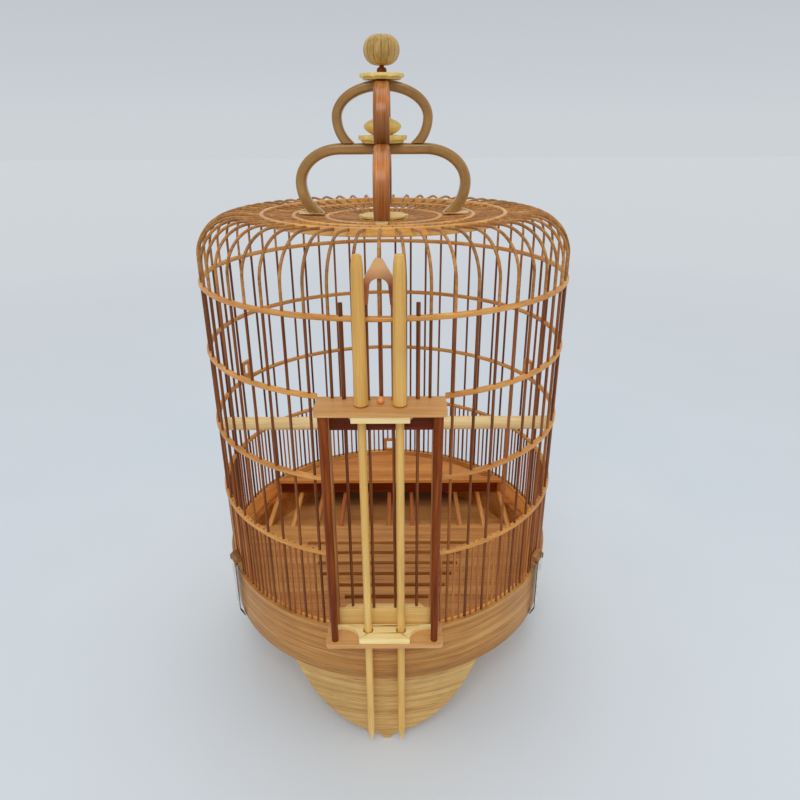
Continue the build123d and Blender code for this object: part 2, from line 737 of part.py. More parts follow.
# Lifting door: four bars, the outer two thicker above the top plate
bar_foot_z = rail_top_z - rail_socket_depth
thick_bar_bottom_z = plate_top_z + slide_clearance
grip_socket_z = grip_bottom_z + socket_depth
with BuildPart() as grille_bars:
    with BuildSketch(Plane.XY.offset(bar_foot_z)):
        with Locations((inner_bar_x, inner_bar_y), (-inner_bar_x, inner_bar_y)):
            Circle(rib_diameter / 2)
    extrude(amount=grip_socket_z - bar_foot_z)
    with BuildSketch(Plane.XY.offset(bar_foot_z)):
        with Locations((outer_bar_x, outer_bar_y), (-outer_bar_x, outer_bar_y)):
            Circle(rib_diameter / 2)
    extrude(amount=thick_bar_bottom_z - bar_foot_z)
    with BuildSketch(Plane.XY.offset(thick_bar_bottom_z)):
        with Locations((outer_bar_x, outer_bar_y), (-outer_bar_x, outer_bar_y)):
            Circle(thick_bar_diameter / 2)
    extrude(amount=thick_bar_top_z - thick_bar_bottom_z)
save(grille_bars.part, "grille_bars")

# Lifting door: pointed arched grip on the two inner bars, relieved behind for the front rib
grip_back_y = inner_bar_y + rib_diameter
grip_arch_z = grip_inner_top_z - grip_opening_round
relief_front_y = -(rib_radius + rib_diameter / 2)
grip_outer_points = [(0, grip_top_z)]
for x_share, z_share in grip_outer_shares:
    grip_outer_points.append((grip_outer_half * x_share, grip_bottom_z + grip_height * z_share))
grip_outer_points.append((inner_bar_x + grip_foot_half, grip_bottom_z))
with BuildPart() as grille_grip:
    with BuildSketch(Plane.XZ.offset(-grip_back_y)):
        with BuildLine():
            Spline(*grip_outer_points, tangents=((1, 0), (-1, -2)))
            Polyline(
                (inner_bar_x + grip_foot_half, grip_bottom_z),
                (inner_bar_x - grip_foot_half, grip_bottom_z),
                (grip_inner_half, grip_arch_z),
            )
            EllipticalCenterArc((0, grip_arch_z), grip_inner_half, grip_opening_round, arc_size=90)
            Line((0, grip_inner_top_z), (0, grip_top_z))
        make_face()
        mirror(about=Plane.YZ)
    extrude(amount=grip_depth)
    with BuildSketch(Plane.XY.offset(grip_bottom_z - cut_overrun)):
        with Locations((inner_bar_x, inner_bar_y), (-inner_bar_x, inner_bar_y)):
            Circle(rib_diameter / 2 + bar_fit)
    extrude(amount=socket_depth + cut_overrun, mode=Mode.SUBTRACT)
    relief_depth = grip_back_y + cut_overrun - relief_front_y
    relief_height = grip_top_z - grip_arch_z + 2 * cut_overrun
    with Locations((0, relief_front_y + relief_depth / 2, grip_arch_z + relief_height / 2)):
        Box(rib_diameter + 2 * grip_relief, relief_depth, relief_height, mode=Mode.SUBTRACT)
save(grille_grip.part, "grille_grip")


def make_club_rod(x):
    """One turned rod: pointed tip, straight shaft and a long club-shaped head."""
    club_bottom_z = plate_top_z + slide_clearance
    club_top_z = club_bottom_z + club_length
    shaft_radius = rod_diameter / 2
    shoulder_z = club_top_z - club_shoulder_drop
    bulge_x = club_top_radius + (club_shoulder_radius - club_top_radius) * club_bulge_shares[0]
    bulge_z = shoulder_z + club_shoulder_drop * club_bulge_shares[1]
    with BuildPart() as rod:
        with BuildSketch(Plane.XZ):
            with BuildLine():
                Polyline(
                    (0, club_top_z),
                    (0, rod_tip_z),
                    (rod_tip_radius, rod_tip_z),
                    (shaft_radius, rod_tip_z + rod_tip_length),
                    (shaft_radius, club_bottom_z),
                    (club_bottom_radius - club_heel, club_bottom_z),
                    (club_bottom_radius, club_bottom_z + club_heel),
                    (club_shoulder_radius, shoulder_z),
                )
                shoulder_point = (club_shoulder_radius, shoulder_z)
                rim_point = (club_top_radius, club_top_z - club_crown)
                ThreePointArc(shoulder_point, (bulge_x, bulge_z), rim_point)
                Polyline(rim_point, (club_top_radius - club_crown, club_top_z), (0, club_top_z))
            make_face()
        revolve(axis=Axis.Z)
    return rod.part.moved(Location((x, rod_y, 0)))


save(make_club_rod(-rod_x), "club_rod_left")
save(make_club_rod(rod_x), "club_rod_right")

# Foot ring: a bent strip sawn away between three tongue-shaped feet
foot_drop = foot_ring_bottom_z - foot_curve_bottom_z
foot_outline_points = [(foot_half_width, foot_ring_bottom_z)]
for x_share, z_share in foot_curve_shares:
    foot_outline_points.append((foot_half_width * x_share, foot_curve_bottom_z + foot_drop * z_share))
foot_outline_points.append((nub_half_width, foot_curve_bottom_z))
foot_top_z = foot_ring_bottom_z + cut_overrun
with BuildPart() as foot_prism:
    with BuildSketch(Plane.XZ):
        with BuildLine():
            Spline(*foot_outline_points)
            Polyline((nub_half_width, foot_curve_bottom_z), (nub_tip_half_width, 0), (0, 0), (0, foot_top_z))
            Polyline((0, foot_top_z), (foot_half_width, foot_top_z), (foot_half_width, foot_ring_bottom_z))
        make_face()
        mirror(about=Plane.YZ)
    extrude(amount=foot_ring_outer_radius + cut_overrun)
with BuildPart() as foot_prisms:
    with PolarLocations(0, foot_count):
        add(foot_prism.part)
with BuildPart() as foot_ring:
    with BuildSketch():
        Circle(foot_ring_outer_radius)
        Circle(foot_ring_inner_radius, mode=Mode.SUBTRACT)
    extrude(amount=foot_ring_bottom_z)
    add(foot_prisms.part, mode=Mode.INTERSECT)
    with BuildSketch(Plane.XY.offset(foot_ring_bottom_z)):
        Circle(foot_ring_outer_radius)
        Circle(foot_ring_inner_radius, mode=Mode.SUBTRACT)
    extrude(amount=band_bottom_z - foot_ring_bottom_z)
    joint_edge = foot_ring.edges().group_by(Axis.Z)[-1].sort_by(SortBy.LENGTH)[-1]
    chamfer(joint_edge, length=joint_chamfer)
    with BuildSketch(Plane.XZ):
        with BuildLine():
            Polyline(
                (foot_ring_outer_radius - foot_line_depth, foot_ring_bottom_z),
                (foot_ring_outer_radius, foot_ring_bottom_z + foot_line_width / 2),
                (foot_ring_outer_radius + cut_overrun, foot_ring_bottom_z + foot_line_width / 2),
                (foot_ring_outer_radius + cut_overrun, foot_ring_bottom_z - foot_line_width / 2),
                (foot_ring_outer_radius, foot_ring_bottom_z - foot_line_width / 2),
                close=True,
            )
        make_face()
    revolve(axis=Axis.Z, mode=Mode.SUBTRACT)
save(foot_ring.part, "foot_ring")

# Tray board that closes the base from below
with BuildPart() as tray_board:
    with BuildSketch(Plane.XY.offset(tray_z)):
        Circle(foot_ring_inner_radius - tray_play)
    extrude(amount=tray_thickness)
save(tray_board.part, "tray_board")

# Sleeve that stands on the tray board, centres the band and carries the floor
with BuildPart() as sleeve_ring:
    with BuildSketch(Plane.XY.offset(tray_z + tray_thickness)):
        Circle(sleeve_outer_radius - tray_play)
        Circle(sleeve_inner_radius, mode=Mode.SUBTRACT)
    extrude(amount=floor_underside_z - tray_z - tray_thickness)
save(sleeve_ring.part, "sleeve_ring")

# Front floor board with its row of slots
with BuildPart() as floor_board:
    with BuildSketch(Plane.XY.offset(floor_underside_z)):
        Circle(floor_radius)
        with Locations((0, floor_back_y - floor_radius)):
            Rectangle(2 * floor_radius, 2 * floor_radius, mode=Mode.INTERSECT)
        for index, half_length_share in enumerate(slot_half_length_shares[:slot_count]):
            with Locations((0, slot_first_y - index * slot_pitch)):
                Rectangle(2 * floor_radius * half_length_share, slot_width, mode=Mode.SUBTRACT)
    extrude(amount=floor_thickness)
save(floor_board.part, "floor_board")

# Slats of the back half of the floor
with BuildPart() as floor_slats:
    with BuildSketch(Plane.XY.offset(floor_underside_z)):
        for index in range(-slat_pairs, slat_pairs + 1):
            slat_x = index * slat_pitch
            far_edge = abs(slat_x) + slat_width / 2
            slat_end_y = math.sqrt(floor_radius ** 2 - far_edge ** 2)
            slat_length = slat_end_y - floor_back_y
            with Locations((slat_x, floor_back_y + slat_length / 2)):
                Rectangle(slat_width, slat_length)
    extrude(amount=floor_thickness)
save(floor_slats.part, "floor_slats")

# Batten under the joint of board and slats
batten_far_y = floor_back_y + batten_width / 2
batten_half_length = math.sqrt(sleeve_inner_radius ** 2 - batten_far_y ** 2) - tray_play
with BuildPart() as floor_batten:
    with BuildSketch(Plane.XY.offset(floor_underside_z - batten_height)):
        with Locations((0, floor_back_y)):
            Rectangle(2 * batten_half_length, batten_width)
    extrude(amount=batten_height)
save(floor_batten.part, "floor_batten")

# Bench: crescent seat, front apron and back cleat
with BuildPart() as bench_seat:
    with BuildSketch(Plane.XY.offset(bench_underside_z)):
        Circle(bench_back_radius)
        with Locations((0, bench_front_y + bench_back_radius)):
            Rectangle(2 * bench_back_radius, 2 * bench_back_radius, mode=Mode.INTERSECT)
    extrude(amount=bench_thickness)
    with BuildSketch(Plane.XY.offset(bench_underside_z)):
        Circle(bench_strip_radius)
        with Locations((0, bench_front_y + bench_strip_depth / 2)):
            Rectangle(2 * bench_strip_radius, bench_strip_depth, mode=Mode.INTERSECT)
    extrude(amount=bench_thickness)
save(bench_seat.part, "bench_seat")
apron_back_y = bench_front_y + bench_overhang + apron_thickness
apron_half_length = math.sqrt(bench_strip_radius ** 2 - apron_back_y ** 2) - apron_end_play
with BuildPart() as bench_apron:
    with BuildSketch(Plane.XY.offset(floor_top_z)):
        with Locations((0, apron_back_y - apron_thickness / 2)):
            Rectangle(2 * apron_half_length, apron_thickness)
    extrude(amount=bench_underside_z - floor_top_z)
save(bench_apron.part, "bench_apron")
with BuildPart() as bench_cleat:
    with BuildSketch(Plane.XY.offset(floor_top_z)):
        with Locations((0, bench_back_radius - cleat_inset - cleat_width / 2)):
            Rectangle(2 * cleat_half_length, cleat_width)
    extrude(amount=bench_underside_z - floor_top_z)
save(bench_cleat.part, "bench_cleat")

# Clip blocks, pins and clips
clip_block_top_z = clip_pivot_z + clip_block_rise
ear_bottom_z = clip_pivot_z - clip_ear_drop
slot_top_z = clip_pivot_z + clip_eye_radius + slide_clearance
ear_top_z = slot_top_z + clip_ear_cover
clip_slot_width = clip_width + 2 * slide_clearance
with BuildPart() as clip_blocks:
    for azimuth in clip_azimuths.values():
        with BuildSketch(radial_plane(azimuth)):
            with BuildLine():
                Polyline(
                    (block_back_radius, band_top_z),
                    (block_web_radius, band_top_z),
                    (block_web_radius, ear_bottom_z),
                    (clip_block_front_radius, ear_bottom_z),
                    (clip_block_front_radius, ear_top_z),
                    (block_web_radius + clip_block_crest, clip_block_top_z),
                    (block_back_radius, clip_block_top_z),
                    close=True,
                )
            make_face()
        extrude(amount=clip_block_width / 2, both=True)
        with BuildSketch(radial_plane(azimuth)):
            with BuildLine():
                Polyline(
                    (block_web_radius, ear_bottom_z - cut_overrun),
                    (clip_block_front_radius + cut_overrun, ear_bottom_z - cut_overrun),
                    (clip_block_front_radius + cut_overrun, slot_top_z),
                    (block_web_radius, slot_top_z),
                    close=True,
                )
            make_face()
        extrude(amount=clip_slot_width / 2, both=True, mode=Mode.SUBTRACT)
        with BuildSketch(radial_plane(azimuth)):
            with Locations((clip_pivot_radius, clip_pivot_z)):
                Circle(clip_pin_diameter / 2 + bar_fit)
        extrude(amount=clip_block_width, both=True, mode=Mode.SUBTRACT)
save(clip_blocks.part, "clip_blocks")
with BuildPart() as clip_pins:
    for azimuth in clip_azimuths.values():
        with BuildSketch(radial_plane(azimuth)):
            with Locations((clip_pivot_radius, clip_pivot_z)):
                Circle(clip_pin_diameter / 2)
        extrude(amount=clip_block_width / 2, both=True)
save(clip_pins.part, "clip_pins")
clip_leaf_radius = clip_pivot_radius + clip_eye_radius - clip_thickness / 2
clip_toe_radius = foot_ring_outer_radius + clip_toe_gap + clip_thickness
for side, azimuth in clip_azimuths.items():
    with BuildPart() as clip:
        with BuildSketch(radial_plane(azimuth)):
            with BuildLine() as leaf_line:
                Polyline(
                    (clip_leaf_radius, clip_pivot_z),
                    (clip_leaf_radius, clip_toe_bend_z),
                    (clip_toe_radius, clip_toe_z),
                )
            trace(leaf_line.line, line_width=clip_thickness)
            with Locations((clip_pivot_radius, clip_pivot_z)):
                Circle(clip_eye_radius)
                Circle(clip_pin_diameter / 2 + bar_fit, mode=Mode.SUBTRACT)
        extrude(amount=clip_width / 2, both=True)
        with BuildSketch(tangent_plane(azimuth)):
            with BuildLine():
                Polyline(
                    (clip_width / 2, clip_pivot_z + clip_eye_radius),
                    (clip_width / 2, clip_pivot_z - clip_eye_radius),
                    (clip_tip_width / 2, clip_toe_z - clip_thickness),
                    (-clip_tip_width / 2, clip_toe_z - clip_thickness),
                    (-clip_width / 2, clip_pivot_z - clip_eye_radius),
                    (-clip_width / 2, clip_pivot_z + clip_eye_radius),
                    close=True,
                )
            make_face()
        extrude(amount=clip_block_front_radius, mode=Mode.INTERSECT)
    save(clip.part, "clip_" + side)

# Handle pads over the roof bars, plates under them, and dowels between the bars
underplate_inner_radius = inner_ring_radius + ring_width / 2 + underplate_play
underplate_centre_radius = underplate_inner_radius + underplate_length / 2
underplate_top_z = roof_z(underplate_inner_radius) - rib_diameter / 2 - pad_lift
foot_azimuths = (0.0, 90.0, 180.0, -90.0)
dowel_azimuths = []
for foot_azimuth in foot_azimuths:
    bay = math.floor(foot_azimuth / rib_pitch)
    dowel_azimuths.append((bay + 1 / 2) * rib_pitch)
dowel_points = [wall_point(lower_arch_foot_x, a) for a in dowel_azimuths]
pad_locations = []
underplate_locations = []
for foot_azimuth in foot_azimuths:
    pad_x, pad_y = wall_point(pad_centre_radius, foot_azimuth)
    pad_locations.append(Location((pad_x, pad_y, 0), (0, 0, foot_azimuth)))
    under_x, under_y = wall_point(underplate_centre_radius, foot_azimuth)
    underplate_locations.append(Location((under_x, under_y, 0), (0, 0, foot_azimuth)))
with BuildPart() as handle_pads:
    with BuildSketch(Plane.XY.offset(pad_bottom_z)):
        with Locations(*pad_locations):
            SlotOverall(pad_length, pad_width, rotation=90)
        with Locations(*dowel_points):
            Circle(dowel_diameter / 2 + bar_fit, mode=Mode.SUBTRACT)
    extrude(amount=pad_thickness)
save(handle_pads.part, "handle_pads")
with BuildPart() as handle_underplates:
    with BuildSketch(Plane.XY.offset(underplate_top_z - underplate_thickness)):
        with Locations(*underplate_locations):
            SlotOverall(underplate_length, underplate_width, rotation=90)
        with Locations(*dowel_points):
            Circle(dowel_diameter / 2 + bar_fit, mode=Mode.SUBTRACT)
    extrude(amount=underplate_thickness)
save(handle_underplates.part, "handle_underplates")
dowel_bottom_z = underplate_top_z - underplate_thickness
with BuildPart() as handle_dowels:
    with BuildSketch(Plane.XY.offset(dowel_bottom_z)):
        with Locations(*dowel_points):
            Circle(dowel_diameter / 2)
    extrude(amount=pad_top_z + dowel_bite - dowel_bottom_z)
save(handle_dowels.part, "handle_dowels")


def make_arch(plane, mirror_plane, lap_above, shape, seat_z, bore_points):
    """One bent strip: crown, rounded shoulders and legs drawn in to the feet, half-lapped on top."""
    thickness, half_width, wide_z, top_z, shoulder, foot_x = shape
    lap_z = top_z - thickness / 2
    centre_x = half_width - thickness / 2
    flat_half = max(half_width - shoulder, 0)
    leg_drop = wide_z - seat_z
    leg_in = centre_x - foot_x
    leg_radius = (leg_drop ** 2 + leg_in ** 2) / (2 * leg_in)
    leg_turn = math.degrees(math.asin(leg_drop / leg_radius))
    with BuildPart() as arch:
        with BuildLine(plane) as path:
            if flat_half:
                Line((0, lap_z), (flat_half, lap_z))
            EllipticalCenterArc((flat_half, wide_z), centre_x - flat_half, lap_z - wide_z, arc_size=90)
            leg = CenterArc((centre_x - leg_radius, wide_z), leg_radius, 0, -leg_turn)
            Line(leg @ 1, leg @ 1 + (leg % 1) * thickness)
        crown_point = plane.from_local_coords((0, lap_z))
        with BuildSketch(Plane(origin=crown_point, x_dir=plane.z_dir, z_dir=plane.x_dir)):
            RectangleRounded(strip_width, thickness, strip_edge_radius)
        sweep(path=path.wire())
        split(bisect_by=Plane.XY.offset(seat_z), keep=Keep.TOP)
        mirror(about=mirror_plane)
        lap_height = thickness / 2 + cut_overrun
        lap_centre = lap_z + (lap_height / 2 if lap_above else -lap_height / 2)
        with Locations((0, 0, lap_centre)):
            Box(strip_width, strip_width, lap_height, mode=Mode.SUBTRACT)
        with Locations((0, 0, lap_z)):
            Cylinder(spindle_diameter / 2 + bar_fit, 2 * thickness, mode=Mode.SUBTRACT)
        if bore_points:
            with BuildSketch(Plane.XY.offset(seat_z)):
                with Locations(*bore_points):
                    Circle(dowel_diameter / 2 + bar_fit)
            extrude(amount=dowel_bite + bar_fit, mode=Mode.SUBTRACT)
    return arch.part


lower_shape = (
    lower_strip_thickness,
    lower_arch_half_width,
    lower_arch_wide_z,
    lower_arch_top_z,
    lower_arch_shoulder,
    lower_arch_foot_x,
)
upper_shape = (
    upper_strip_thickness,
    upper_arch_half_width,
    upper_arch_wide_z,
    upper_arch_top_z,
    upper_arch_half_width,
    upper_arch_foot_x,
)
for name, plane, mirror_plane, lap_above in (
    ("side", Plane.XZ, Plane.YZ, False),
    ("front", Plane.YZ, Plane.XZ, True),
):
    lower_arch = make_arch(plane, mirror_plane, lap_above, lower_shape, pad_top_z, dowel_points)
    save(lower_arch, "lower_arch_" + name)
    upper_arch = make_arch(plane, mirror_plane, lap_above, upper_shape, lower_arch_top_z, [])
    save(upper_arch, "upper_arch_" + name)

# Turned pieces threaded on the handle's spindle
spindle_bore = spindle_diameter / 2 + bar_fit
save(make_lobed_disc(mid_disc_radius, mid_disc_thickness, lower_arch_top_z, spindle_bore), "mid_disc")
save(make_lobed_disc(top_disc_radius, top_disc_thickness, upper_arch_top_z, spindle_bore), "top_disc")
ornament_z = lower_arch_top_z + mid_disc_thickness
ornament_neck_z = ornament_z + ornament_neck_height
ornament_top_z = ornament_z + ornament_height
ornament_wide_z = ornament_z + ornament_wide_height
bowl_span = ornament_radius - ornament_neck_radius
bowl_rise = ornament_wide_z - ornament_neck_z
bell_span = ornament_radius - ornament_top_radius
bell_rise = ornament_top_z - ornament_wide_z
ornament_curve = [(ornament_neck_radius, ornament_neck_z)]
for out_share, up_share in ornament_bowl_shares:
    bowl_x = ornament_neck_radius + bowl_span * out_share
    ornament_curve.append((bowl_x, ornament_neck_z + bowl_rise * up_share))
ornament_curve.append((ornament_radius, ornament_wide_z))
for out_share, up_share in ornament_bell_shares:
    bell_x = ornament_top_radius + bell_span * out_share
    ornament_curve.append((bell_x, ornament_wide_z + bell_rise * up_share))
ornament_curve.append((ornament_top_radius, ornament_top_z))
with BuildPart() as ornament:
    with BuildSketch(Plane.XZ):
        with BuildLine():
            Polyline(
                (ornament_top_radius, ornament_top_z),
                (spindle_bore, ornament_top_z),
                (spindle_bore, ornament_z),
                (ornament_neck_radius, ornament_z),
                (ornament_neck_radius, ornament_neck_z),
            )
            Spline(*ornament_curve)
        make_face()
    revolve(axis=Axis.Z)
save(ornament.part, "ornament")
bead_z = upper_arch_top_z + top_disc_thickness
with BuildPart() as bead:
    with BuildSketch(Plane.XZ):
        with BuildLine():
            Polyline((bead_end_radius, bead_z), (spindle_bore, bead_z), (spindle_bore, bead_z + bead_height))
            Line((spindle_bore, bead_z + bead_height), (bead_end_radius, bead_z + bead_height))
            ThreePointArc(
                (bead_end_radius, bead_z + bead_height),
                (bead_radius, bead_z + bead_height / 2),
                (bead_end_radius, bead_z),
            )
        make_face()
    revolve(axis=Axis.Z)
save(bead.part, "bead")
finial_z = bead_z + bead_height + neck_height
finial_mid_z = finial_z + finial_height / 2
finial_side = finial_radius - finial_flat_radius
with BuildPart() as finial:
    with BuildSketch(Plane.XZ):
        with BuildLine():
            side = EllipticalCenterArc(
                (finial_flat_radius, finial_mid_z), finial_side, finial_height / 2, -90, arc_size=180
            )
            Polyline(
                side @ 1,
                (0, finial_z + finial_height),
                (0, finial_z + finial_bore_depth),
                (spindle_bore, finial_z + finial_bore_depth),
                (spindle_bore, finial_z),
                side @ 0,
            )
        make_face()
    revolve(axis=Axis.Z)
save(finial.part, "finial")

# Spindle through the handle, and the nut that holds it from below
nut_top_z = lower_arch_top_z - lower_strip_thickness
spindle_bottom_z = nut_top_z - nut_height - nut_tail
with BuildPart() as handle_spindle:
    with BuildSketch(Plane.XY.offset(spindle_bottom_z)):
        Circle(spindle_diameter / 2)
    extrude(amount=finial_z + finial_bore_depth - bar_fit - spindle_bottom_z)
save(handle_spindle.part, "handle_spindle")
with BuildPart() as spindle_nut:
    with BuildSketch(Plane.XY.offset(nut_top_z - nut_height)):
        RegularPolygon(nut_radius, 6)
        Circle(spindle_bore, mode=Mode.SUBTRACT)
    extrude(amount=nut_height)
save(spindle_nut.part, "spindle_nut")
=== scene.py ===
import math

import bmesh
import bpy
from mathutils import Matrix, Vector


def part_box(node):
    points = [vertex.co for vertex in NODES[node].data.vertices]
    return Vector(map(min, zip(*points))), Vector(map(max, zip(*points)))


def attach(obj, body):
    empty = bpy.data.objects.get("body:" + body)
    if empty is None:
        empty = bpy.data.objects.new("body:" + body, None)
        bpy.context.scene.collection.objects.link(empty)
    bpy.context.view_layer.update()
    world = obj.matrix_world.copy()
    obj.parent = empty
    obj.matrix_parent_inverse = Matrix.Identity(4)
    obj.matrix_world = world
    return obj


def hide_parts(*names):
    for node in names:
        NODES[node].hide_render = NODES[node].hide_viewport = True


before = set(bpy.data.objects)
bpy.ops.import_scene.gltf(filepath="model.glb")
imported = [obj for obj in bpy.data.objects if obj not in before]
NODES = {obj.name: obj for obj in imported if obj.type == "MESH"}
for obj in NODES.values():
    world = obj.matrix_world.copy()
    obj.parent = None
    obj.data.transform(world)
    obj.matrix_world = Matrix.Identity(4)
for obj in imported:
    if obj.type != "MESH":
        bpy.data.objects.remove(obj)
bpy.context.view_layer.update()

MM = 0.001
LEVEL = (1.0, 1.0, 0.0)

# Camera

IMAGE_SIZE = 800.0
FOCAL_PIXELS = 630.1
SENSOR_WIDTH = 36.0
CAMERA_DISTANCE = 0.5979
CAMERA_HEIGHT = 0.5398
CAMERA_AZIMUTH = math.radians(1.42)
CAMERA_YAW = math.radians(-0.08)
CAMERA_PITCH = math.radians(23.42)
CAMERA_ROLL = math.radians(0.30)


def add_camera():
    data = bpy.data.cameras.new("camera")
    data.sensor_fit = "HORIZONTAL"
    data.sensor_width = SENSOR_WIDTH
    data.lens = FOCAL_PIXELS / IMAGE_SIZE * SENSOR_WIDTH
    data.clip_start = 0.01
    data.clip_end = 50.0
    camera = bpy.data.objects.new("camera", data)
    bpy.context.scene.collection.objects.link(camera)
    cos_pitch, sin_pitch = math.cos(CAMERA_PITCH), math.sin(CAMERA_PITCH)
    cos_yaw, sin_yaw = math.cos(CAMERA_YAW), math.sin(CAMERA_YAW)
    forward = Vector((sin_yaw * cos_pitch, cos_yaw * cos_pitch, -sin_pitch))
    level_right = Vector((cos_yaw, -sin_yaw, 0.0))
    level_down = Vector((-sin_yaw * sin_pitch, -cos_yaw * sin_pitch, -cos_pitch))
    right = level_right * math.cos(CAMERA_ROLL) + level_down * math.sin(CAMERA_ROLL)
    down = level_down * math.cos(CAMERA_ROLL) - level_right * math.sin(CAMERA_ROLL)
    place = Vector((
        CAMERA_DISTANCE * math.sin(CAMERA_AZIMUTH),
        -CAMERA_DISTANCE * math.cos(CAMERA_AZIMUTH),
        CAMERA_HEIGHT,
    ))
    rotation = Matrix((right, -down, -forward)).transposed().to_4x4()
    camera.matrix_world = Matrix.Translation(place) @ rotation
    bpy.context.scene.camera = camera


# Node helpers


def srgb(red, green, blue):
    """An 8-bit sRGB colour as linear RGBA."""
    values = []
    for value in (red, green, blue):
        share = value / 255
        values.append(share / 12.92 if share <= 0.04045 else ((share + 0.055) / 1.055) ** 2.4)
    return (*values, 1.0)


class Graph:
    """Short calls for building one material's node tree."""

    def __init__(self, name):
        self.material = bpy.data.materials.new(name)
        self.material.use_nodes = True
        self.tree = self.material.node_tree
        self.shader = self.tree.nodes["Principled BSDF"]

    def node(self, kind, inputs=None, **settings):
        item = self.tree.nodes.new("ShaderNode" + kind)
        for key, value in settings.items():
            setattr(item, key, value)
        for key, value in (inputs or {}).items():
            self.put(item.inputs[key], value)
        return item

    def put(self, socket, value):
        if isinstance(value, bpy.types.NodeSocket):
            self.tree.links.new(value, socket)
        else:
            socket.default_value = value

    def math(self, operation, first, second=0.0):
        return self.node("Math", {0: first, 1: second}, operation=operation).outputs[0]

    def spread(self, value, low, high, to_low, to_high):
        inputs = {"Value": value, "From Min": low, "From Max": high, "To Min": to_low, "To Max": to_high}
        return self.node("MapRange", inputs).outputs[0]

    def noise(self, vector, scale, detail=4.0, roughness=0.55, distortion=0.0):
        inputs = {
            "Vector": vector,
            "Scale": scale,
            "Detail": detail,
            "Roughness": roughness,
            "Distortion": distortion,
        }
        return self.node("TexNoise", inputs).outputs["Fac"]

    def stretched(self, vector, scale):
        return self.node("Mapping", {"Vector": vector, "Scale": scale}).outputs[0]

    def ramp(self, value, stops):
        item = self.node("ValToRGB", {"Fac": value})
        elements = item.color_ramp.elements
        while len(elements) < len(stops):
            elements.new(0.5)
        for element, (place, colour) in zip(elements, stops):
            element.position = place
            element.color = colour
        return item.outputs["Color"]

    def mix(self, kind, amount, first, second):
        item = self.node("Mix", data_type="RGBA", blend_type=kind)
        self.put(item.inputs[0], amount)
        self.put(item.inputs[6], first)
        self.put(item.inputs[7], second)
        return item.outputs[2]

    def tone(self, colour, amount):
        """The colour times a grey amount."""
        grey = self.node("CombineColor", {0: amount, 1: amount, 2: amount}).outputs[0]
        return self.mix("MULTIPLY", 1.0, colour, grey)

    def finish(self, colour, roughness, height, bump, distance=0.0004):
        self.put(self.shader.inputs["Base Color"], colour)
        self.put(self.shader.inputs["Roughness"], roughness)
        bumped = self.node("Bump", {"Strength": bump, "Distance": distance, "Height": height})
        self.put(self.shader.inputs["Normal"], bumped.outputs[0])
        return self.material


def azimuth(graph):
    """Angle of the point round the cage's axis, from the front, in radians."""
    place = graph.node("TexCoord").outputs["Object"]
    parts = graph.node("SeparateXYZ", {0: place})
    back = graph.math("MULTIPLY", parts.outputs["Y"], -1.0)
    return graph.math("ARCTAN2", parts.outputs["X"], back)


def bar_number(graph, count):
    """A whole number for each of the evenly spaced bars, from the azimuth of the point."""
    return graph.math("ROUND", graph.math("MULTIPLY", azimuth(graph), count / (2 * math.pi)))


# Scale of the broad streaks and of the thin lines of a wood, as shares of its streaks' scale
BROAD_SCALE = 0.16
LINE_SCALE = 1.7
ZONE_BLUR = 0.3 * MM
EDGE_BLUR = 1.5 * MM


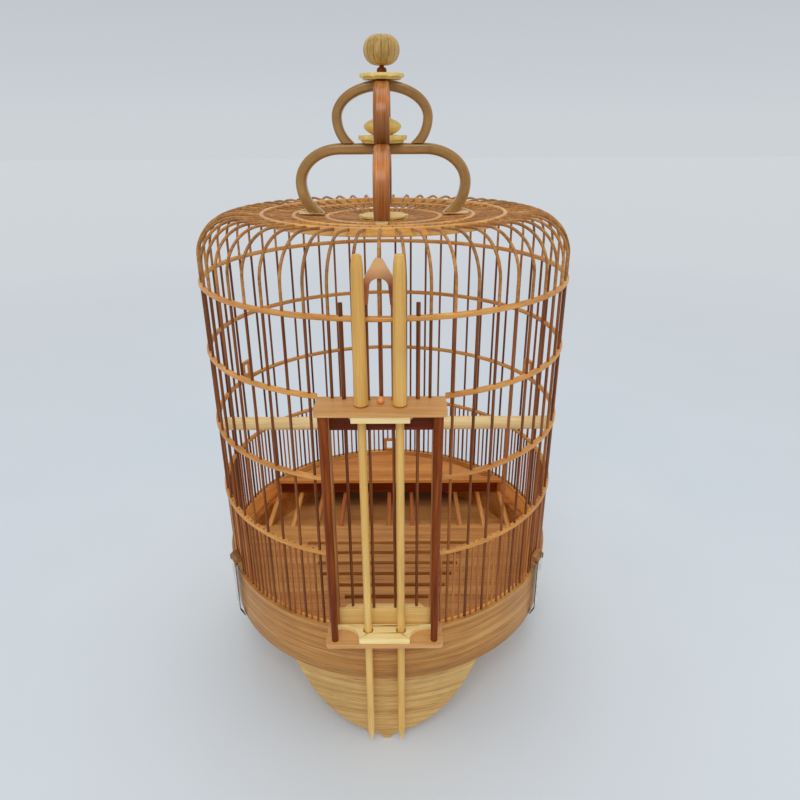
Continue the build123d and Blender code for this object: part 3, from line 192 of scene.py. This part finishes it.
def wood(name, dark, middle, light, streaks, **options):
    """Varnished wood with streaks and thin dark lines along its grain.

    streaks holds the texture's scale along X, Y and Z, per metre: the grain runs where it is lowest.
    The options add thin lines, tinted zones above a height, a tone for each bar, painted shade in the
    grooves, a painted highlight that grows with the height, painted shade and highlight as a run of
    greys over the height, a tint in the middle, painted shade towards the back and painted light in a
    radius.
    """
    graph = Graph(name)
    place = graph.node("TexCoord").outputs["Object"]
    stretched = graph.stretched(place, streaks)
    fine = graph.noise(stretched, 1.0, 5.0, 0.62, options.get("wave", 0.3))
    wide = graph.stretched(place, [value * BROAD_SCALE for value in streaks])
    broad = graph.noise(wide, 1.0, 3.0)
    blotch = graph.noise(place, options.get("blotch", 22.0), 2.0)
    grain = graph.math("ADD", graph.math("MULTIPLY", fine, 0.5), graph.math("MULTIPLY", broad, 0.5))
    low, high = options.get("contrast", (0.36, 0.64))
    colour = graph.ramp(grain, [(low, dark), (0.5, middle), (high, light)])
    if "lines" in options:
        narrow = graph.stretched(place, [value * LINE_SCALE for value in streaks])
        thin = graph.noise(narrow, 1.0, 2.0, 0.5, 0.15)
        depth = graph.spread(thin, 0.6, 0.68, 0.0, options["lines"])
        colour = graph.mix("MIX", depth, colour, options["line_colour"])
    colour = graph.tone(colour, graph.spread(blotch, 0.3, 0.7, 0.93, 1.05))
    if "zones" in options:
        height = graph.node("SeparateXYZ", {0: place}).outputs["Z"]
        for border, tint in options["zones"]:
            above = graph.spread(height, border - ZONE_BLUR, border + ZONE_BLUR, 0.0, 1.0)
            tinted = graph.mix("MULTIPLY", 1.0, colour, tint)
            colour = graph.mix("MIX", above, colour, tinted)
    if "bars" in options:
        number = bar_number(graph, options["bars"])
        chance = graph.node("TexWhiteNoise", {"W": number}, noise_dimensions="1D")
        low_tone, high_tone = options.get("bar_tones", (0.8, 1.12))
        colour = graph.tone(colour, graph.spread(chance.outputs["Value"], 0.0, 1.0, low_tone, high_tone))
    # Painted shade in the grooves: the colour darkens towards the middle of each groove.
    if "grooves" in options:
        wave = graph.math("SINE", graph.math("MULTIPLY", azimuth(graph), options["grooves"] / 2))
        colour = graph.tone(colour, graph.spread(graph.math("ABSOLUTE", wave), 0.0, 0.35, 0.6, 1.0))
    # Painted highlight: the colour turns towards the light tint as the height rises, as on a top lit
    # from above.
    if "glow" in options:
        low_z, high_z, tint = options["glow"]
        height = graph.node("SeparateXYZ", {0: place}).outputs["Z"]
        colour = graph.mix("MIX", graph.spread(height, low_z, high_z, 0.0, 1.0), colour, tint)
    # Painted light and shade: a run of greys over the piece's height, dark low down and with a painted
    # highlight band higher up.
    if "fall" in options:
        low_z, high_z, stops = options["fall"]
        height = graph.node("SeparateXYZ", {0: place}).outputs["Z"]
        share = graph.spread(height, low_z, high_z, 0.0, 1.0)
        greys = [(stop, (grey, grey, grey, 1.0)) for stop, grey in stops]
        colour = graph.mix("MULTIPLY", 1.0, colour, graph.ramp(share, greys))
    if "middle_tint" in options:
        inner_x, outer_x, tint = options["middle_tint"]
        across = graph.math("ABSOLUTE", graph.node("SeparateXYZ", {0: place}).outputs["X"])
        tinted = graph.mix("MULTIPLY", 1.0, colour, tint)
        colour = graph.mix("MIX", graph.spread(across, inner_x, outer_x, 1.0, 0.0), colour, tinted)
    if "back_shade" in options:
        near_y, far_y, grey = options["back_shade"]
        depth = graph.node("SeparateXYZ", {0: place}).outputs["Y"]
        colour = graph.tone(colour, graph.spread(depth, near_y, far_y, 1.0, grey))
    # Painted light: within the radius, on the band's inner face and the inner edge of its top, the
    # colour is brightened against the shade there.
    if "inside" in options:
        radius, grey = options["inside"]
        level = graph.node("VectorMath", {0: place, 1: LEVEL}, operation="MULTIPLY").outputs[0]
        reach = graph.node("VectorMath", {0: level}, operation="LENGTH").outputs["Value"]
        colour = graph.tone(colour, graph.spread(reach, radius, radius + EDGE_BLUR, grey, 1.0))
    edge = graph.node("NewGeometry").outputs["Pointiness"]
    colour = graph.tone(colour, graph.spread(edge, 0.44, 0.58, 0.9, 1.12))
    rough = options.get("rough", 0.42)
    roughness = graph.spread(fine, 0.3, 0.7, rough - 0.06, rough + 0.09)
    graph.put(graph.shader.inputs["Specular IOR Level"], options.get("specular", 0.32))
    graph.put(graph.shader.inputs["Coat Weight"], options.get("coat", 0.08))
    graph.put(graph.shader.inputs["Coat Roughness"], 0.2)
    return graph.finish(colour, roughness, grain, options.get("bump", 0.25))


def brushed_steel(name):
    """Bright spring steel, with painted shade on its edges and on the side that faces the wall."""
    graph = Graph(name)
    coordinates = graph.node("TexCoord")
    place = coordinates.outputs["Object"]
    scratches = graph.noise(graph.stretched(place, (900.0, 900.0, 90.0)), 1.0, 4.0, 0.7)
    stain = graph.noise(place, 90.0, 3.0)
    colour = graph.ramp(stain, [(0.35, srgb(196, 194, 190)), (0.6, srgb(240, 238, 234))])
    # Painted shade: faces turned towards the wall or sideways, as on the edges, are darkened.
    level = graph.node("VectorMath", {0: place, 1: LEVEL}, operation="MULTIPLY").outputs[0]
    outward = graph.node("VectorMath", {0: level}, operation="NORMALIZE").outputs[0]
    normal = coordinates.outputs["Normal"]
    wall_side_shade = graph.node("VectorMath", {0: outward, 1: normal}, operation="DOT_PRODUCT")
    colour = graph.tone(colour, graph.spread(wall_side_shade.outputs["Value"], 0.2, 0.6, 0.12, 1.0))
    graph.put(graph.shader.inputs["Metallic"], 1.0)
    roughness = graph.spread(scratches, 0.3, 0.7, 0.24, 0.42)
    return graph.finish(colour, roughness, scratches, 0.12, 0.0001)


# Materials

ROUND_GRAIN = (30.0, 30.0, 1500.0)
UPRIGHT_GRAIN = (1400.0, 1400.0, 34.0)
ACROSS_GRAIN = (22.0, 800.0, 800.0)
FOOT_EDGE_HEIGHT = 11.1 * MM
BAND_WALL = 6.5 * MM
FOOT_LINE_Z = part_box("foot_ring")[1].z - FOOT_EDGE_HEIGHT
GRIP_LOW, GRIP_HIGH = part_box("grille_grip")
FINIAL_GROOVES = 14
PLATE_TOP_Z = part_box("door_top_plate")[1].z
BAND_INNER_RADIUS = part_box("base_band")[1].x - BAND_WALL
BENCH_FRONT_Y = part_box("bench_seat")[0].y
LOWER_ARCH_LOW, LOWER_ARCH_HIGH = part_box("lower_arch_front")
UPPER_ARCH_LOW, UPPER_ARCH_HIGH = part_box("upper_arch_front")
# Painted shade and highlight over the height of each front arch, as greys from its bottom (0) to its top
# (1)
LOWER_ARCH_PAINTED_SHADING = ((0.0, 0.8), (0.35, 0.92), (0.58, 1.15), (0.72, 1.45), (0.86, 1.2), (1.0, 1.0))
UPPER_ARCH_PAINTED_SHADING = ((0.0, 0.5), (0.3, 0.66), (0.52, 0.95), (0.7, 1.25), (0.85, 1.05), (1.0, 0.9))


def add_materials():
    post = (srgb(90, 33, 6), srgb(128, 57, 14), srgb(158, 82, 28))
    header = (srgb(80, 28, 6), srgb(112, 42, 12), srgb(136, 62, 24))
    # A brighter copy of the cream wood for the bottom bracket: painted light against the shade of the
    # top plate.
    painted_light_cream = (srgb(238, 204, 130), srgb(252, 226, 156), srgb(255, 240, 184))
    ring = (srgb(198, 130, 54), srgb(228, 164, 80), srgb(244, 192, 110))
    slat = (srgb(180, 112, 50), srgb(216, 148, 74), srgb(238, 176, 102))
    band = (srgb(150, 94, 38), srgb(188, 130, 62), srgb(208, 158, 90))
    foot = (srgb(172, 124, 62), srgb(204, 162, 95), srgb(222, 184, 120))
    finial = (srgb(140, 98, 38), srgb(184, 145, 75), srgb(206, 172, 102))
    knob = (srgb(226, 150, 80), srgb(240, 172, 100), srgb(248, 194, 130))
    clip_block = (srgb(122, 78, 34), srgb(160, 110, 56), srgb(186, 138, 80))
    cream = (srgb(226, 190, 124), srgb(243, 212, 150), srgb(250, 228, 178))
    rail = (srgb(206, 166, 92), srgb(228, 190, 116), srgb(240, 208, 142))
    pale = (srgb(220, 164, 80), srgb(240, 190, 102), srgb(250, 210, 130))
    disc = (srgb(214, 172, 84), srgb(238, 204, 112), srgb(246, 220, 140))
    honey = (srgb(186, 116, 46), srgb(216, 150, 70), srgb(234, 178, 98))
    plate = (srgb(192, 132, 70), srgb(216, 160, 96), srgb(232, 184, 124))
    olive = (srgb(134, 96, 44), srgb(170, 126, 66), srgb(196, 156, 94))
    jamb = (srgb(140, 84, 38), srgb(176, 114, 60), srgb(202, 142, 86))
    amber = (srgb(122, 58, 20), srgb(166, 96, 38), srgb(200, 134, 72))
    carved = (srgb(116, 54, 24), srgb(156, 84, 42), srgb(184, 112, 62))
    bar = (srgb(84, 42, 16), srgb(124, 68, 30), srgb(158, 98, 48))
    skirt = (srgb(122, 62, 22), srgb(168, 98, 40), srgb(208, 142, 74))
    roof = (srgb(134, 84, 34), srgb(174, 116, 52), srgb(206, 152, 80))
    floor = (srgb(164, 100, 44), srgb(196, 132, 64), srgb(216, 158, 88))
    bench = (srgb(192, 110, 38), srgb(222, 142, 60), srgb(238, 166, 84))
    tray = (srgb(196, 136, 70), srgb(220, 162, 92), srgb(232, 180, 112))
    return {
        "band": wood(
            "band_wood", *band, ROUND_GRAIN,
            rough=0.42, contrast=(0.36, 0.62), bump=0.2, lines=0.5, line_colour=srgb(122, 70, 28),
            # painted light on the inner face and inner top edge of the band
            inside=(BAND_INNER_RADIUS + MM, 1.9),
        ),
        "foot": wood(
            "foot_wood", *foot, ROUND_GRAIN,
            rough=0.44, contrast=(0.36, 0.62), bump=0.3, lines=0.7, line_colour=srgb(132, 84, 38),
            zones=[(FOOT_LINE_Z, srgb(221, 196, 172))],
        ),
        "hoop": wood("hoop_wood", *honey, (60.0, 60.0, 900.0), rough=0.36, coat=0.2),
        "ring": wood("ring_wood", *ring, (60.0, 60.0, 900.0), rough=0.36, coat=0.2),
        "clip_block": wood("clip_block_wood", *clip_block, (90.0, 90.0, 600.0), contrast=(0.4, 0.6)),
        "bar": wood(
            "bar_wood", *bar, UPRIGHT_GRAIN, bars=57, rough=0.4, bar_tones=(0.8, 1.3),
            specular=0.2, coat=0.04,
        ),
        "skirt": wood("skirt_wood", *skirt, UPRIGHT_GRAIN, bars=171, rough=0.4, bar_tones=(0.7, 1.2)),
        "roof_bar": wood("roof_bar_wood", *roof, (300.0, 300.0, 300.0), bars=57, rough=0.38, coat=0.15),
        "post": wood("post_wood", *post, (600.0, 600.0, 30.0), rough=0.4, specular=0.14, coat=0.0),
        "header": wood("header_wood", *header, ACROSS_GRAIN, rough=0.4, specular=0.14, coat=0.0),
        "jamb": wood("jamb_wood", *jamb, (700.0, 700.0, 26.0), rough=0.4),
        "pale": wood(
            "pale_wood", *pale, (700.0, 700.0, 26.0), rough=0.36, contrast=(0.3, 0.66),
            # painted shade: darker above the door's top plate, so the rods below it read lighter
            zones=[(PLATE_TOP_Z, srgb(240, 236, 232))],
        ),
        "finial": wood(
            "finial_wood", *finial, (500.0, 500.0, 60.0),
            # painted shade in the finial's grooves
            rough=0.38, contrast=(0.3, 0.6), grooves=FINIAL_GROOVES,
        ),
        "disc": wood("disc_wood", *disc, ACROSS_GRAIN, rough=0.36, contrast=(0.3, 0.62)),
        "cream": wood("cream_wood", *cream, ACROSS_GRAIN, rough=0.42, contrast=(0.3, 0.62)),
        "painted_light_cream": wood("low_cream_wood", *painted_light_cream, ACROSS_GRAIN, rough=0.42, contrast=(0.3, 0.62)),
        "rail": wood("rail_wood", *rail, ACROSS_GRAIN, rough=0.42, contrast=(0.3, 0.62)),
        "plate": wood("plate_wood", *plate, ACROSS_GRAIN, rough=0.4, contrast=(0.32, 0.64)),
        "knob": wood("knob_wood", *knob, ACROSS_GRAIN),
        "side_arch": wood("side_arch_wood", *olive, (30.0, 800.0, 30.0), rough=0.28, coat=0.4),
        # both front arches carry painted shade low down and a painted highlight where they bulge forward
        "lower_front_arch": wood(
            "lower_front_arch_wood", *amber, (900.0, 26.0, 26.0), rough=0.34, coat=0.25, bump=0.12,
            fall=(LOWER_ARCH_LOW.z, LOWER_ARCH_HIGH.z, LOWER_ARCH_PAINTED_SHADING),
        ),
        "upper_front_arch": wood(
            "upper_front_arch_wood", *amber, (900.0, 26.0, 26.0), rough=0.34, coat=0.25, bump=0.12,
            fall=(UPPER_ARCH_LOW.z, UPPER_ARCH_HIGH.z, UPPER_ARCH_PAINTED_SHADING),
        ),
        "grip": wood(
            "grip_wood", *carved, (300.0, 300.0, 60.0), rough=0.3, coat=0.3, bump=0.12,
            # painted highlight on the upper part of the grip
            glow=(GRIP_LOW.z + 13 * MM, GRIP_HIGH.z - 6 * MM, srgb(222, 172, 116)),
        ),
        "floor": wood("floor_wood", *floor, (18.0, 420.0, 420.0), rough=0.46),
        "bench": wood("bench_wood", *bench, (18.0, 420.0, 420.0), rough=0.46),
        "tray": wood(
            "tray_wood", *tray, (18.0, 420.0, 420.0), rough=0.5,
            back_shade=(BENCH_FRONT_Y + 20 * MM, BENCH_FRONT_Y + 45 * MM, 0.22),
        ),
        "slat": wood(
            "slat_wood", *slat, (500.0, 18.0, 500.0), rough=0.46,
            middle_tint=(70 * MM, 95 * MM, srgb(216, 176, 160)),
        ),
        "perch": wood("perch_wood", *cream, (22.0, 500.0, 500.0), rough=0.46, contrast=(0.3, 0.62)),
        "steel": brushed_steel("clip_steel"),
    }


NODE_MATERIALS = {
    "base_band": "band", "foot_ring": "foot", "sleeve_ring": "floor", "tray_board": "tray",
    "floor_board": "floor", "floor_slats": "slat", "floor_batten": "floor", "bench_seat": "bench",
    "bench_apron": "header", "bench_cleat": "floor", "hoop_top": "hoop", "hoop_upper": "hoop",
    "hoop_middle": "hoop", "hoop_lower": "hoop", "wall_ribs": "bar", "door_ribs": "bar",
    "skirt_bars": "skirt", "roof_ribs": "roof_bar", "roof_ring_outer": "ring",
    "roof_ring_middle": "ring", "roof_ring_inner": "ring", "crown_hub": "disc", "crown_plate": "disc",
    "perch": "perch", "cup_windows": "hoop", "door_top_plate": "plate", "door_bottom_plate": "plate",
    "door_posts": "post", "door_jambs": "jamb", "door_header": "header", "door_top_bracket": "cream",
    "door_bottom_bracket": "painted_light_cream", "plate_pin": "knob",
    "clip_blocks": "clip_block", "clip_pins": "steel",
    "handle_pads": "cream", "handle_underplates": "side_arch", "handle_dowels": "pale",
    "lower_arch_side": "side_arch", "lower_arch_front": "lower_front_arch",
    "upper_arch_side": "side_arch", "upper_arch_front": "upper_front_arch",
    "mid_disc": "disc", "top_disc": "disc", "ornament": "disc",
    "bead": "post", "finial": "finial", "handle_spindle": "post", "spindle_nut": "pale",
    "grille_rail": "rail", "grille_bars": "bar", "grille_grip": "grip", "club_rod_left": "pale",
    "club_rod_right": "pale", "clip_left": "steel", "clip_right": "steel",
}

# Width of the rounding on the edges of the pieces that are sawn or carved, in millimetres
SOFT_EDGES = {
    "door_top_plate": 0.7, "door_bottom_plate": 0.7, "door_top_bracket": 0.5, "door_bottom_bracket": 0.5,
    "door_header": 0.4, "door_jambs": 0.4, "grille_rail": 0.5, "grille_grip": 1.4, "bench_seat": 0.6,
    "bench_apron": 0.4, "floor_board": 0.4, "floor_slats": 0.5, "clip_blocks": 0.4, "cup_windows": 0.3,
    "mid_disc": 0.5, "top_disc": 0.5, "crown_plate": 0.5, "ornament": 0.4, "handle_pads": 0.4,
}


def soften_edges():
    """Rounded edges, by modifiers alone, so that the nodes' own meshes stay as they are."""
    for name, width in SOFT_EDGES.items():
        piece = NODES[name]
        weld = piece.modifiers.new("weld", "WELD")
        weld.merge_threshold = 0.001 * MM
        bevel = piece.modifiers.new("rounding", "BEVEL")
        bevel.width = width * MM
        bevel.segments = 3
        bevel.limit_method = "ANGLE"
        bevel.angle_limit = math.radians(35.0)


FINIAL_FLAT_RADIUS = 4.6 * MM
FINIAL_LEVELS = 32
FINIAL_STEPS = 16         # of the mesh in each groove's width
GROOVE_DEPTH = 0.06       # as a share of the radius


def add_finial(material):
    """Melon-shaped finial with upright grooves, in place of the plain turned one."""
    low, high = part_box("finial")
    middle_z = (low.z + high.z) / 2
    half_height = (high.z - low.z) / 2
    radius = (high.x - low.x) / 2
    turns = FINIAL_STEPS * FINIAL_GROOVES
    shape = bmesh.new()
    rings = []
    for level in range(FINIAL_LEVELS + 1):
        lift = math.radians(-90 + 180 * level / FINIAL_LEVELS)
        reach = FINIAL_FLAT_RADIUS + (radius - FINIAL_FLAT_RADIUS) * math.cos(lift)
        ring = []
        for step in range(turns):
            turn = 2 * math.pi * step / turns
            groove = (1 - abs(math.sin(turn * FINIAL_GROOVES / 2))) ** 3
            bare = reach * (1 - GROOVE_DEPTH * groove * math.cos(lift))
            height = middle_z + half_height * math.sin(lift)
            ring.append(shape.verts.new((bare * math.sin(turn), -bare * math.cos(turn), height)))
        rings.append(ring)
    for lower, upper in zip(rings, rings[1:]):
        for step in range(turns):
            after = (step + 1) % turns
            shape.faces.new((lower[step], lower[after], upper[after], upper[step]))
    shape.faces.new(list(reversed(rings[0])))
    shape.faces.new(rings[-1])
    for face in shape.faces:
        face.smooth = True
    mesh = bpy.data.meshes.new("finial_melon")
    shape.to_mesh(mesh)
    shape.free()
    mesh.materials.append(material)
    piece = bpy.data.objects.new("finial_melon", mesh)
    bpy.context.scene.collection.objects.link(piece)
    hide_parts("finial")
    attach(piece, "cage")


def dress_nodes(materials):
    for name, material_name in NODE_MATERIALS.items():
        data = NODES[name].data
        material = materials[material_name]
        if data.materials:
            for index in range(len(data.materials)):
                data.materials[index] = material
        else:
            data.materials.append(material)


# Stage and lights

BACKDROP = srgb(205, 210, 215)
BACKDROP_TOP = srgb(193, 198, 204)
BACKDROP_RISE = 0.16      # upward share of the view's direction where the top colour is reached
FLOOR_HALF = 12.0
FLOOR_FADE = (0.35, 2.4)  # distances from the axis where the fade starts and ends
SKY_LIGHT = (0.59, 0.6, 0.615, 1.0)
LAMP_TARGET = (0.0, 0.0, 0.3)


def add_stage():
    """A white floor that fades into the backdrop's colour with the distance from the cage."""
    mesh = bpy.data.meshes.new("studio_floor")
    signs = ((-1, -1), (1, -1), (1, 1), (-1, 1))
    corners = [(FLOOR_HALF * x_sign, FLOOR_HALF * y_sign, 0.0) for x_sign, y_sign in signs]
    mesh.from_pydata(corners, [], [(0, 1, 2, 3)])
    floor = bpy.data.objects.new("studio_floor", mesh)
    bpy.context.scene.collection.objects.link(floor)
    graph = Graph("studio_floor")
    place = graph.node("TexCoord").outputs["Object"]
    cloud = graph.noise(place, 3.0, 2.0)
    colour = graph.ramp(cloud, [(0.3, srgb(225, 234, 241)), (0.7, srgb(229, 237, 244))])
    distance = graph.node("VectorMath", {0: place}, operation="LENGTH").outputs["Value"]
    fade = graph.spread(distance, *FLOOR_FADE, 0.0, 1.0)
    graph.put(graph.shader.inputs["Specular IOR Level"], 0.1)
    graph.put(graph.shader.inputs["Emission Color"], BACKDROP)
    graph.put(graph.shader.inputs["Emission Strength"], fade)
    colour = graph.tone(colour, graph.math("SUBTRACT", 1.0, fade))
    mesh.materials.append(graph.finish(colour, 0.9, cloud, 0.02, 0.001))


def add_world():
    """Soft light from all sides; what the camera sees of it is the backdrop's colour."""
    world = bpy.data.worlds.new("studio")
    bpy.context.scene.world = world
    world.use_nodes = True
    tree = world.node_tree
    background = tree.nodes["Background"]
    light_path = tree.nodes.new("ShaderNodeLightPath")
    mix = tree.nodes.new("ShaderNodeMix")
    mix.data_type = "RGBA"
    tree.links.new(light_path.outputs["Is Camera Ray"], mix.inputs[0])
    mix.inputs[6].default_value = SKY_LIGHT
    sky = tree.nodes.new("ShaderNodeTexCoord")
    parts = tree.nodes.new("ShaderNodeSeparateXYZ")
    rise = tree.nodes.new("ShaderNodeMapRange")
    rise.inputs["From Max"].default_value = BACKDROP_RISE
    shade = tree.nodes.new("ShaderNodeMix")
    shade.data_type = "RGBA"
    shade.inputs[6].default_value = BACKDROP
    shade.inputs[7].default_value = BACKDROP_TOP
    tree.links.new(sky.outputs["Generated"], parts.inputs[0])
    tree.links.new(parts.outputs["Z"], rise.inputs["Value"])
    tree.links.new(rise.outputs[0], shade.inputs[0])
    tree.links.new(shade.outputs[2], mix.inputs[7])
    tree.links.new(mix.outputs[2], background.inputs["Color"])
    background.inputs["Strength"].default_value = 1.0


def add_area(name, place, size, power, colour):
    data = bpy.data.lights.new(name, "AREA")
    data.shape = "DISK"
    data.size = size
    data.energy = power
    data.color = colour
    lamp = bpy.data.objects.new(name, data)
    bpy.context.scene.collection.objects.link(lamp)
    place = Vector(place)
    look = (Vector(LAMP_TARGET) - place).to_track_quat("-Z", "Y")
    lamp.matrix_world = Matrix.Translation(place) @ look.to_matrix().to_4x4()


def add_lights():
    add_area("key", (-0.1, -1.7, 2.1), 1.2, 15.0, (1.0, 0.98, 0.94))
    add_area("side", (1.7, -0.6, 1.4), 1.4, 0.8, (1.0, 0.98, 0.96))
    add_area("top", (0.0, 0.7, 2.3), 1.5, 6.0, (1.0, 1.0, 1.0))


# The scene

bpy.context.scene.view_settings.view_transform = "Standard"
add_camera()
MATERIALS = add_materials()
dress_nodes(MATERIALS)
soften_edges()
add_finial(MATERIALS["finial"])
add_stage()
add_world()
add_lights()

bpy.context.view_layer.update()
